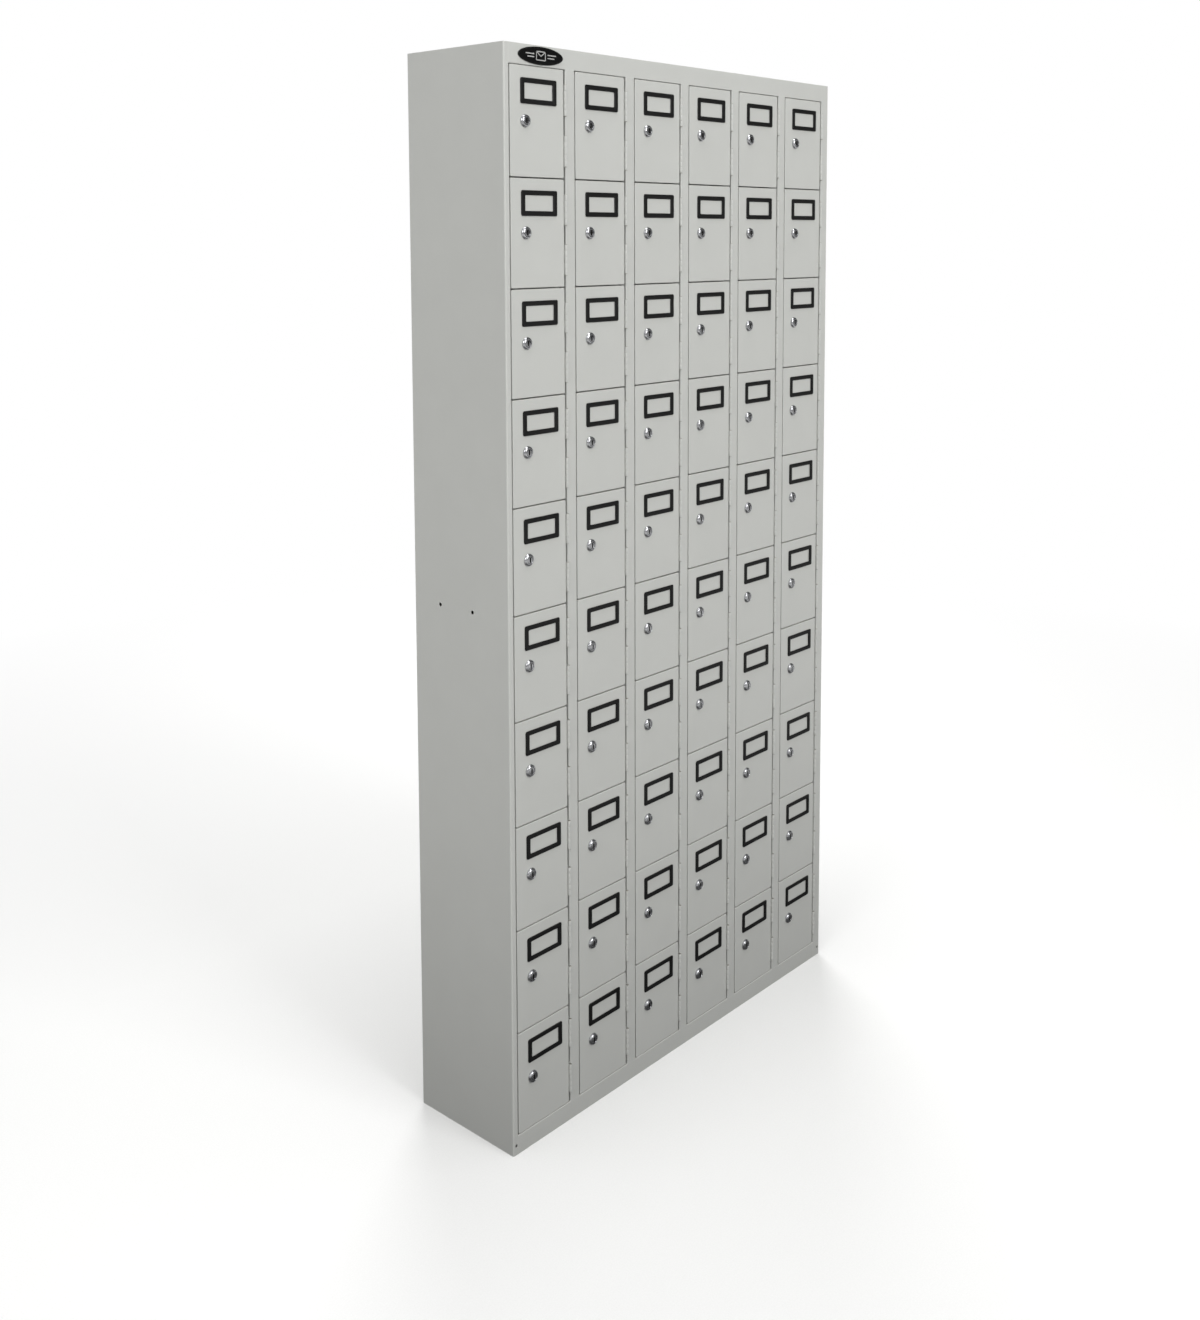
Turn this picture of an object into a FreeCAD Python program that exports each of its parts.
"""Steel parcel locker: sixty small inset doors in six columns of ten.

One STEP file is written per sub-part, in millimetres. +X is the locker's right seen from the front,
+Y is its back and +Z is up. The origin is the centre of the base, on the floor.

The carcass is folded from sheet steel: two side panels with the outer front stiles bent on, a top and
a base panel, a back panel, two rails, five middle stiles, five column dividers and sixty shelves.
Every door is a folded pan on two butt hinges at its right edge, with a card holder and a cam lock.
Doors are called by column letter and row number, from a01 at the top left to f10 at the bottom right.
"""

import FreeCAD, Part
import math
import os

Vector = FreeCAD.Vector

# ---- overall sizes ----
WIDTH = 900.0
DEPTH = 225.0
HEIGHT = 1800.0
COLUMNS = 6
ROWS = 10

# ---- sheet metal ----
SHEET = 1.0  # outer panels, rails, stiles and door pans
INNER_SHEET = 0.8  # shelves and column dividers
BEND = 1.5  # inside radius of the bends at the cabinet's outer edges
FRAME_BEND = 0.6  # inside radius of the bends around the door openings

# ---- front frame ----
LEFT_STILE = 11.0
RIGHT_STILE = 23.0
MIDDLE_STILE = 22.0
TOP_RAIL = 32.0
BOTTOM_RAIL = 32.0
FRAME_RETURN = 17.0  # how far the edge of an opening is folded back
REAR_FLANGE = 15.0  # fold that carries the back panel
WELD_FLANGE = 15.0  # folds inside the top and base panels, and behind the rails
SHELF_SETBACK = 1.0  # from the frame's returns to the shelves' front edges
SHELF_HEM = 8.0  # depth of the shelf's folded front edge

# ---- door pan ----
LOCK_GAP = 1.8  # door edge to stile on the lock side
HINGE_GAP = 4.0  # door edge to stile on the hinge side
ROW_GAP = 2.0  # between two doors, one above the other
DOOR_RETURN = 16.0
DOOR_LIP = 7.0
DOOR_CORNER = 2.5
DOOR_EDGE = 1.0  # rounding where the face folds into its returns

# ---- butt hinge ----
HINGE_LENGTH = 49.0
HINGE_FROM_TOP = 23.5  # door's top edge to the upper hinge
HINGE_FROM_BOTTOM = 18.5  # door's bottom edge to the lower hinge
HINGE_PROUD = 2.0  # hinge axis in front of the door's face
PIN_RADIUS = 1.45
PIN_CLEARANCE = 0.05
KNUCKLE_RADIUS = 2.7
KNUCKLES = 5
KNUCKLE_GAP = 0.2
LEAF = 1.2
LEAF_CLEARANCE = 0.3  # between a leaf's edge and the other leaf's knuckles
LEAF_DEPTH = 14.0  # behind the door's face
PIN_HEAD_RADIUS = 2.3
PIN_HEAD = 0.8

# ---- card holder ----
CARD_FRAME_WIDTH = 80.0
CARD_FRAME_HEIGHT = 40.0
CARD_WINDOW_WIDTH = 64.0
CARD_WINDOW_HEIGHT = 26.0
CARD_FRAME_THICKNESS = 2.0
CARD_FRAME_CORNER = 2.5
CARD_WINDOW_CORNER = 1.5
CARD_SLOT = 0.8  # thickness of the card that slides in
CARD_SLOT_MARGIN = 3.0  # overlap of card and frame around the window
CARD_FRAME_FROM_LEFT = 22.5
CARD_FRAME_CENTRE_FROM_TOP = 38.7

# ---- cam lock ----
LOCK_FROM_LEFT = 32.6
LOCK_FROM_TOP = 85.2
LOCK_HEAD_RADIUS = 10.25
LOCK_HEAD_RIM = 1.8
LOCK_HEAD_PROUD = 4.6
LOCK_HEAD_DOME = 0.8  # how far the dome bulges over a straight cone
BARREL_RADIUS = 8.0
BARREL_LENGTH = 17.4
BARREL_HOLE_CLEARANCE = 0.1
NUT_ACROSS_FLATS = 21.0
NUT_THICKNESS = 4.0
PLUG_RADIUS = 5.5
PLUG_CLEARANCE = 0.05
KEYWAY_WIDTH = 1.6
KEYWAY_LENGTH = 7.6
KEYWAY_DEPTH = 9.0
SPINDLE = 7.0
SPINDLE_CLEARANCE = 0.05
CAM_GAP = 0.2
CAM_THICKNESS = 2.0
CAM_WIDTH = 14.0
CAM_OVERLAP = 5.0  # how far the turned cam reaches behind the stile
SCREW_RADIUS = 2.0
SCREW_LENGTH = 6.0
SCREW_HEAD_RADIUS = 4.5
SCREW_HEAD = 2.2

# ---- badge ----
BADGE_WIDTH = 100.0
BADGE_HEIGHT = 28.0
BADGE_THICKNESS = 2.0
BADGE_RIM = 2.5
BADGE_RECESS = 0.6
BADGE_FROM_LEFT = 80.5

# ---- fixing holes ----
CORNER_HOLE_RADIUS = 2.75
CORNER_HOLE_INSET = 7.0
CORNER_HOLE_UP = 16.0
JOINING_HOLE_RADIUS = 3.25
JOINING_HOLE_UP = 896.0
JOINING_HOLES_FROM_BACK = (63.5, 141.0)
WALL_HOLE_RADIUS = 4.0

# ---- which doors are whole assemblies of their own ----
SINGLE_DOOR_COLUMNS = 4  # the other columns' doors turn together, one column at a time
TURNING_PLUGS = 5  # doors of the first column whose lock plug turns

# ---- worked out from the sizes above ----
LEFT = -WIDTH / 2
RIGHT = WIDTH / 2
FRONT = -DEPTH / 2
BACK = DEPTH / 2
OPENING = (WIDTH - LEFT_STILE - RIGHT_STILE - (COLUMNS - 1) * MIDDLE_STILE) / COLUMNS
ROW_PITCH = (HEIGHT - TOP_RAIL - BOTTOM_RAIL) / ROWS
RETURN_BACK = FRONT + FRAME_RETURN
BACK_SHEET_FRONT = BACK - 2 * SHEET
DOOR_WIDTH = OPENING - LOCK_GAP - HINGE_GAP
DOOR_HEIGHT = ROW_PITCH - ROW_GAP
BORE_RADIUS = PIN_RADIUS + PIN_CLEARANCE
PLUG_BORE = PLUG_RADIUS + PLUG_CLEARANCE
HINGE_FROM_DOOR = HINGE_GAP / 2
LEAF_SETBACK = KNUCKLE_RADIUS + LEAF_CLEARANCE  # leaf's edge behind the hinge axis
CAM_FRONT = BARREL_LENGTH + CAM_GAP
CAM_BACK = CAM_FRONT + CAM_THICKNESS
CAM_LENGTH = LOCK_FROM_LEFT + LOCK_GAP + CAM_OVERLAP


def opening_left(column):
    """X of the left edge of a column's door openings."""
    return LEFT + LEFT_STILE + column * (OPENING + MIDDLE_STILE)


def row_top(row):
    """Z of the top of a row's share of the front, rows counted down from 0."""
    return HEIGHT - TOP_RAIL - row * ROW_PITCH


def divider_middle(index):
    """X of the middle of a column divider, which stands behind the middle stile of the same index."""
    return opening_left(index) + OPENING + MIDDLE_STILE / 2


def box(x0, x1, y0, y1, z0, z1):
    """A block between two corners."""
    return Part.makeBox(x1 - x0, y1 - y0, z1 - z0, Vector(x0, y0, z0))


def cylinder_y(radius, x, y0, y1, z):
    """A cylinder along Y."""
    return Part.makeCylinder(radius, y1 - y0, Vector(x, y0, z), Vector(0, 1, 0))


def cylinder_z(radius, x, y, z0, z1):
    """An upright cylinder."""
    return Part.makeCylinder(radius, z1 - z0, Vector(x, y, z0))


def runs_and_normals(path):
    """The unit direction of each run of a 2D path, and the unit normal on its right."""
    runs = []
    for (u0, v0), (u1, v1) in zip(path, path[1:]):
        length = math.hypot(u1 - u0, v1 - v0)
        runs.append(((u1 - u0) / length, (v1 - v0) / length))
    return runs, [(dv, -du) for du, dv in runs]


def offset_path(path, distance):
    """The path moved sideways to its right by a distance, mitred at its corners."""
    _, normals = runs_and_normals(path)
    moved = []
    for i, (u, v) in enumerate(path):
        near = [normals[j] for j in (i - 1, i) if 0 <= j < len(normals)]
        nu = sum(n[0] for n in near) / len(near)
        nv = sum(n[1] for n in near) / len(near)
        scale = distance / (nu * nu + nv * nv)
        moved.append((u + nu * scale, v + nv * scale))
    return moved


def rounded_edges(path, radii, place):
    """Edges along a 2D path with its inner corners rounded. place turns (u, v) into a Vector."""
    runs, _ = runs_and_normals(path)
    edges = []
    start = path[0]
    for i in range(1, len(path) - 1):
        corner, radius = path[i], radii[i - 1]
        into, out = runs[i - 1], runs[i]
        before = (corner[0] - into[0] * radius, corner[1] - into[1] * radius)
        after = (corner[0] + out[0] * radius, corner[1] + out[1] * radius)
        reach = radius * (1 - math.sqrt(0.5))
        middle = (corner[0] + (out[0] - into[0]) * reach, corner[1] + (out[1] - into[1]) * reach)
        edges.append(Part.LineSegment(place(*start), place(*before)).toShape())
        edges.append(Part.Arc(place(*before), place(*middle), place(*after)).toShape())
        start = after
    edges.append(Part.LineSegment(place(*start), place(*path[-1])).toShape())
    return edges


def folded_sheet(path, thickness, bends, place, extrusion):
    """A sheet folded at right angles along a 2D path and extruded.

    The path is the outer skin. The metal lies on its right, or on its left if thickness is negative.
    bends holds each corner's inside radius.
    """
    inner = offset_path(path, thickness)
    sheet = abs(thickness)
    runs, normals = runs_and_normals(path)
    skin_radii, inner_radii = [], []
    for i, bend in enumerate(bends):
        du, dv = runs[i + 1]
        towards_metal = (du * normals[i][0] + dv * normals[i][1]) * thickness > 0
        skin_radii.append(bend + sheet if towards_metal else bend)
        inner_radii.append(bend if towards_metal else bend + sheet)
    skin_edges = rounded_edges(path, skin_radii, place)
    inner_edges = rounded_edges(inner, inner_radii, place)
    caps = [
        Part.LineSegment(place(*path[0]), place(*inner[0])).toShape(),
        Part.LineSegment(place(*path[-1]), place(*inner[-1])).toShape(),
    ]
    wire = Part.Wire(Part.__sortEdges__(skin_edges + inner_edges + caps))
    return Part.Face(wire).extrude(extrusion)


def side_panel(left):
    """Side wall with the outer front stile, its return and the rear flange folded on."""
    edge = LEFT if left else RIGHT
    inward = 1 if left else -1
    stile = LEFT_STILE if left else RIGHT_STILE
    path = [
        (edge + inward * stile, RETURN_BACK),
        (edge + inward * stile, FRONT),
        (edge, FRONT),
        (edge, BACK),
        (edge + inward * REAR_FLANGE, BACK),
    ]
    panel = folded_sheet(
        path,
        SHEET * inward,
        [FRAME_BEND, BEND, BEND],
        lambda x, y: Vector(x, y, SHEET),
        Vector(0, 0, HEIGHT - 2 * SHEET),
    )
    hole_x = edge + inward * CORNER_HOLE_INSET
    panel = panel.cut(
        cylinder_y(CORNER_HOLE_RADIUS, hole_x, FRONT - SHEET, FRONT + 2 * SHEET, CORNER_HOLE_UP)
    )
    for from_back in JOINING_HOLES_FROM_BACK:
        start = Vector(edge - inward * SHEET, BACK - from_back, JOINING_HOLE_UP)
        drill = Part.makeCylinder(JOINING_HOLE_RADIUS, 3 * SHEET, start, Vector(inward, 0, 0))
        panel = panel.cut(drill)
    return panel


def end_panel(z_outer, inward):
    """Top or base panel: a sheet over the whole footprint, with a fold inside each side panel."""
    z_inner = z_outer + inward * SHEET
    low, high = sorted((z_outer, z_inner))
    sheet = box(LEFT, RIGHT, FRONT, BACK, low, high)
    upright = [e for e in sheet.Edges if abs(e.tangentAt(e.FirstParameter).z) > 0.9]
    sheet = sheet.makeFillet(BEND + SHEET, upright)
    fold_low, fold_high = sorted((z_inner, z_inner + inward * WELD_FLANGE))
    fold_front = RETURN_BACK + SHELF_SETBACK
    for x in (LEFT + SHEET, RIGHT - 2 * SHEET):
        sheet = sheet.fuse(box(x, x + SHEET, fold_front, BACK_SHEET_FRONT, fold_low, fold_high))
    return sheet.removeSplitter()


def back_panel():
    """Flat sheet in front of the side panels' rear flanges, with four holes for wall screws."""
    edge = SHEET + BEND
    panel = box(
        LEFT + edge, RIGHT - edge, BACK_SHEET_FRONT, BACK - SHEET, SHEET, HEIGHT - SHEET
    )
    for column in (1, COLUMNS - 2):
        x = opening_left(column) + OPENING / 2
        for row in (0, ROWS - 1):
            z = row_top(row) - ROW_PITCH / 2
            panel = panel.cut(cylinder_y(WALL_HOLE_RADIUS, x, BACK_SHEET_FRONT - SHEET, BACK, z))
    return panel


def rail(z_edge, z_outer, inward):
    """Front rail between the side stiles: return at the openings, face, and a fold under the panel."""
    z_panel = z_outer + inward * SHEET
    path = [
        (RETURN_BACK, z_edge),
        (FRONT, z_edge),
        (FRONT, z_panel),
        (FRONT + WELD_FLANGE, z_panel),
    ]
    length = WIDTH - LEFT_STILE - RIGHT_STILE
    return folded_sheet(
        path,
        -SHEET * inward,
        [FRAME_BEND, FRAME_BEND],
        lambda y, z: Vector(LEFT + LEFT_STILE, y, z),
        Vector(length, 0, 0),
    )


def middle_stile(index):
    """Channel between two columns of doors, open at the back."""
    x0 = opening_left(index) + OPENING
    x1 = x0 + MIDDLE_STILE
    path = [(x0, RETURN_BACK), (x0, FRONT), (x1, FRONT), (x1, RETURN_BACK)]
    return folded_sheet(
        path,
        -SHEET,
        [FRAME_BEND, FRAME_BEND],
        lambda x, y: Vector(x, y, BOTTOM_RAIL),
        Vector(0, 0, HEIGHT - TOP_RAIL - BOTTOM_RAIL),
    )


def column_divider(index):
    """Upright sheet from the middle stile's face to the back panel, notched around the rails."""
    corners = [
        (FRONT + SHEET, BOTTOM_RAIL),
        (RETURN_BACK, BOTTOM_RAIL),
        (RETURN_BACK, SHEET),
        (BACK_SHEET_FRONT, SHEET),
        (BACK_SHEET_FRONT, HEIGHT - SHEET),
        (RETURN_BACK, HEIGHT - SHEET),
        (RETURN_BACK, HEIGHT - TOP_RAIL),
        (FRONT + SHEET, HEIGHT - TOP_RAIL),
    ]
    x = divider_middle(index) - INNER_SHEET / 2
    outline = Part.makePolygon([Vector(x, y, z) for y, z in corners + corners[:1]])
    return Part.Face(outline).extrude(Vector(INNER_SHEET, 0, 0))


def shelf(column, row):
    """Shelf under one compartment, with its front edge hemmed downwards."""
    x0 = LEFT + SHEET if column == 0 else divider_middle(column - 1) + INNER_SHEET / 2
    x1 = RIGHT - SHEET if column == COLUMNS - 1 else divider_middle(column) - INNER_SHEET / 2
    top = row_top(row + 1) + INNER_SHEET / 2
    y0 = RETURN_BACK + SHELF_SETBACK
    plate = box(x0, x1, y0, BACK_SHEET_FRONT, top - INNER_SHEET, top)
    hem = box(x0, x1, y0, y0 + SHELF_HEM, top - 2 * INNER_SHEET, top - INNER_SHEET)
    return plate.fuse(hem).removeSplitter()


def door_pan():
    """Folded pan: face, four returns and an inward lip around its back.

    In a door's own space, x runs from its lock edge, y from its face to the back and z down from 0
    at its top edge.
    """
    block = box(0, DOOR_WIDTH, 0, DOOR_RETURN, -DOOR_HEIGHT, 0)
    corners = [e for e in block.Edges if abs(e.tangentAt(e.FirstParameter).y) > 0.9]
    block = block.makeFillet(DOOR_CORNER, corners)
    face_edges = [e for e in block.Edges if e.BoundBox.YMax < DOOR_EDGE / 2]
    block = block.makeFillet(DOOR_EDGE, face_edges)
    hollow = box(
        SHEET, DOOR_WIDTH - SHEET, SHEET, DOOR_RETURN - SHEET, SHEET - DOOR_HEIGHT, -SHEET
    )
    lip = SHEET + DOOR_LIP
    way_in = box(lip, DOOR_WIDTH - lip, SHEET, DOOR_RETURN, lip - DOOR_HEIGHT, -lip)
    barrel_hole = cylinder_y(
        BARREL_RADIUS + BARREL_HOLE_CLEARANCE, LOCK_FROM_LEFT, -SHEET, 2 * SHEET, -LOCK_FROM_TOP
    )
    return block.cut(hollow).cut(way_in).cut(barrel_hole)


def rounded_plate(width, height, thickness, corner):
    """Plate centred on x and z, from y = -thickness to 0, with rounded corners."""
    plate = box(-width / 2, width / 2, -thickness, 0, -height / 2, height / 2)
    along_y = [e for e in plate.Edges if abs(e.tangentAt(e.FirstParameter).y) > 0.9]
    return plate.makeFillet(corner, along_y)


def card_frame():
    """Card holder on the door's face, with a slot behind its window for a card from the right."""
    frame = rounded_plate(
        CARD_FRAME_WIDTH, CARD_FRAME_HEIGHT, CARD_FRAME_THICKNESS, CARD_FRAME_CORNER
    )
    window = rounded_plate(
        CARD_WINDOW_WIDTH, CARD_WINDOW_HEIGHT, CARD_FRAME_THICKNESS, CARD_WINDOW_CORNER
    )
    slot = box(
        -CARD_WINDOW_WIDTH / 2 - CARD_SLOT_MARGIN,
        CARD_FRAME_WIDTH / 2,
        -CARD_SLOT,
        0,
        -CARD_WINDOW_HEIGHT / 2 - CARD_SLOT_MARGIN,
        CARD_WINDOW_HEIGHT / 2 + CARD_SLOT_MARGIN,
    )
    frame = frame.cut(window).cut(slot)
    x = CARD_FRAME_FROM_LEFT + CARD_FRAME_WIDTH / 2
    frame.translate(Vector(x, 0, -CARD_FRAME_CENTRE_FROM_TOP))
    return frame


def on_lock_axis(shape):
    """Moves a shape made around the Y axis to the door's lock."""
    shape.translate(Vector(LOCK_FROM_LEFT, 0, -LOCK_FROM_TOP))
    return shape


def lock_barrel():
    """Domed head on the face, and the threaded body that holds the plug."""
    inner = Vector(PLUG_BORE, -LOCK_HEAD_PROUD, 0)
    rim = Vector(LOCK_HEAD_RADIUS, -LOCK_HEAD_RIM, 0)
    slope = (rim - inner).normalize()
    middle = (inner + rim) * 0.5 + Vector(-slope.y, slope.x, 0) * -LOCK_HEAD_DOME
    straight = [
        rim,
        Vector(LOCK_HEAD_RADIUS, 0, 0),
        Vector(BARREL_RADIUS, 0, 0),
        Vector(BARREL_RADIUS, BARREL_LENGTH, 0),
        Vector(PLUG_BORE, BARREL_LENGTH, 0),
        inner,
    ]
    edges = [Part.Arc(inner, middle, rim).toShape()]
    edges += [Part.LineSegment(a, b).toShape() for a, b in zip(straight, straight[1:])]
    profile = Part.Face(Part.Wire(edges))
    return on_lock_axis(profile.revolve(Vector(0, 0, 0), Vector(0, 1, 0), 360))


def lock_nut():
    """Hexagon nut behind the door's face."""
    corner = NUT_ACROSS_FLATS / math.sqrt(3)
    points = [
        Vector(corner * math.cos(math.radians(60 * i)), SHEET, corner * math.sin(math.radians(60 * i)))
        for i in range(7)
    ]
    nut = Part.Face(Part.makePolygon(points)).extrude(Vector(0, NUT_THICKNESS, 0))
    hole = cylinder_y(BARREL_RADIUS + BARREL_HOLE_CLEARANCE, 0, 0, NUT_THICKNESS + 2 * SHEET, 0)
    return on_lock_axis(nut.cut(hole))


def lock_plug():
    """Plug with its keyway, and the square spindle that carries the cam."""
    plug = cylinder_y(PLUG_RADIUS, 0, -LOCK_HEAD_PROUD, BARREL_LENGTH, 0)
    keyway = box(
        -KEYWAY_WIDTH / 2,
        KEYWAY_WIDTH / 2,
        -LOCK_HEAD_PROUD,
        KEYWAY_DEPTH - LOCK_HEAD_PROUD,
        -KEYWAY_LENGTH / 2,
        KEYWAY_LENGTH / 2,
    )
    half = SPINDLE / 2
    spindle = box(-half, half, BARREL_LENGTH, CAM_BACK, -half, half)
    screw_hole = cylinder_y(
        SCREW_RADIUS + SPINDLE_CLEARANCE, 0, CAM_BACK - SCREW_LENGTH, CAM_BACK, 0
    )
    return on_lock_axis(plug.cut(keyway).fuse(spindle).cut(screw_hole))


def lock_cam():
    """Flat cam hanging from the spindle, long enough to reach behind the stile when it is turned."""
    plate = box(-CAM_WIDTH / 2, CAM_WIDTH / 2, CAM_FRONT, CAM_BACK, -CAM_LENGTH, 0)
    eye = cylinder_y(CAM_WIDTH / 2, 0, CAM_FRONT, CAM_BACK, 0)
    half = SPINDLE / 2 + SPINDLE_CLEARANCE
    square = box(-half, half, CAM_FRONT - SHEET, CAM_BACK + SHEET, -half, half)
    return on_lock_axis(plate.fuse(eye).removeSplitter().cut(square))


def cam_screw():
    """Screw that holds the cam on the spindle."""
    shank = cylinder_y(SCREW_RADIUS, 0, CAM_BACK - SCREW_LENGTH, CAM_BACK, 0)
    head = cylinder_y(SCREW_HEAD_RADIUS, 0, CAM_BACK, CAM_BACK + SCREW_HEAD, 0)
    return on_lock_axis(shank.fuse(head))


def knuckle(index):
    """Bottom and top of one of a hinge's knuckles, measured up from the hinge's lower end."""
    pitch = HINGE_LENGTH / KNUCKLES
    return index * pitch + KNUCKLE_GAP / 2, (index + 1) * pitch - KNUCKLE_GAP / 2


def hinge_leaf(on_frame):
    """One leaf with its knuckles, around a hinge axis at x = y = 0, standing on z = 0.

    The leaf on the frame has the outer and middle knuckles and lies on the stile's return; the
    other has the two between and lies on the door's return.
    """
    side = 1 if on_frame else -1
    x0, x1 = sorted((side * (HINGE_FROM_DOOR - LEAF), side * HINGE_FROM_DOOR))
    leaf = box(x0, x1, LEAF_SETBACK, HINGE_PROUD + LEAF_DEPTH, 0, HINGE_LENGTH)
    for index in range(0 if on_frame else 1, KNUCKLES, 2):
        z0, z1 = knuckle(index)
        leaf = leaf.fuse(cylinder_z(KNUCKLE_RADIUS, 0, 0, z0, z1))
        leaf = leaf.fuse(box(x0, x1, BORE_RADIUS, LEAF_SETBACK, z0, z1))
    return leaf.cut(cylinder_z(BORE_RADIUS, 0, 0, 0, HINGE_LENGTH)).removeSplitter()


def hinge_pin():
    """Pin with a flat head at each end."""
    pin = cylinder_z(PIN_RADIUS, 0, 0, 0, HINGE_LENGTH)
    for z in (-PIN_HEAD, HINGE_LENGTH):
        pin = pin.fuse(cylinder_z(PIN_HEAD_RADIUS, 0, 0, z, z + PIN_HEAD))
    return pin.removeSplitter()


def at_hinges(shape):
    """Copies of a hinge piece at a door's two hinges, in the door's own space."""
    x = DOOR_WIDTH + HINGE_FROM_DOOR
    lower = HINGE_FROM_BOTTOM - DOOR_HEIGHT
    upper = -HINGE_FROM_TOP - HINGE_LENGTH
    copies = []
    for z in (lower, upper):
        copy = shape.copy()
        copy.translate(Vector(x, -HINGE_PROUD, z))
        copies.append(copy)
    return copies


def at_door(shape, column, row):
    """A copy of a shape from a door's own space, put where that door is."""
    copy = shape.copy()
    x = opening_left(column) + LOCK_GAP
    copy.translate(Vector(x, FRONT, row_top(row) - ROW_GAP / 2))
    return copy


def badge():
    """Blank oval plate on the top rail with a raised rim."""
    def oval(width, height, y0, y1):
        ellipse = Part.Ellipse(Vector(0, y0, 0), width / 2, height / 2)
        ellipse.Axis = Vector(0, 1, 0)
        ellipse.XAxis = Vector(1, 0, 0)
        return Part.Face(Part.Wire(ellipse.toShape())).extrude(Vector(0, y1 - y0, 0))

    plate = oval(BADGE_WIDTH, BADGE_HEIGHT, -BADGE_THICKNESS, 0)
    recess = oval(
        BADGE_WIDTH - 2 * BADGE_RIM,
        BADGE_HEIGHT - 2 * BADGE_RIM,
        -BADGE_THICKNESS - BADGE_RECESS,
        BADGE_RECESS - BADGE_THICKNESS,
    )
    plate = plate.cut(recess)
    plate.translate(Vector(LEFT + BADGE_FROM_LEFT, FRONT, HEIGHT - TOP_RAIL / 2))
    return plate


def door_name(column, row):
    """Column letter and row number, such as a01."""
    return f"{chr(ord('a') + column)}{row + 1:02d}"


def carcass_nodes():
    """Everything that stands still."""
    everywhere = [(column, row) for column in range(COLUMNS) for row in range(ROWS)]
    frame_leaves = at_hinges(hinge_leaf(True))
    pins = at_hinges(hinge_pin())
    stiles = range(COLUMNS - 1)
    return {
        "left_side_panel": [side_panel(True)],
        "right_side_panel": [side_panel(False)],
        "top_panel": [end_panel(HEIGHT, -1)],
        "base_panel": [end_panel(0, 1)],
        "back_panel": [back_panel()],
        "top_rail": [rail(HEIGHT - TOP_RAIL, HEIGHT, -1)],
        "bottom_rail": [rail(BOTTOM_RAIL, 0, 1)],
        "middle_stiles": [middle_stile(i) for i in stiles],
        "column_dividers": [column_divider(i) for i in stiles],
        "shelves": [shelf(c, r) for c, r in everywhere],
        "hinge_leaves_on_frame": [at_door(s, c, r) for c, r in everywhere for s in frame_leaves],
        "hinge_pins": [at_door(s, c, r) for c, r in everywhere for s in pins],
        "badge_plate": [badge()],
    }


def door_nodes():
    """The doors with what they carry, and the lock plugs that turn by themselves."""
    shell = [door_pan(), card_frame(), lock_barrel(), lock_nut()] + at_hinges(hinge_leaf(False))
    turning = [lock_plug(), lock_cam(), cam_screw()]
    nodes = {}
    for column in range(COLUMNS):
        for row in range(ROWS):
            name = door_name(column, row)
            own_plug = column == 0 and row < TURNING_PLUGS
            pieces = shell if own_plug else shell + turning
            node = f"door_{name}" if column < SINGLE_DOOR_COLUMNS else f"doors_column_{name[0]}"
            nodes.setdefault(node, []).extend(at_door(s, column, row) for s in pieces)
            if own_plug:
                nodes[f"lock_plug_{name}"] = [at_door(s, column, row) for s in turning]
    return nodes


def main():
    os.makedirs("parts", exist_ok=True)
    for name, solids in {**carcass_nodes(), **door_nodes()}.items():
        shape = solids[0] if len(solids) == 1 else Part.makeCompound(solids)
        shape.exportStep(f"parts/{name}.step")


main()
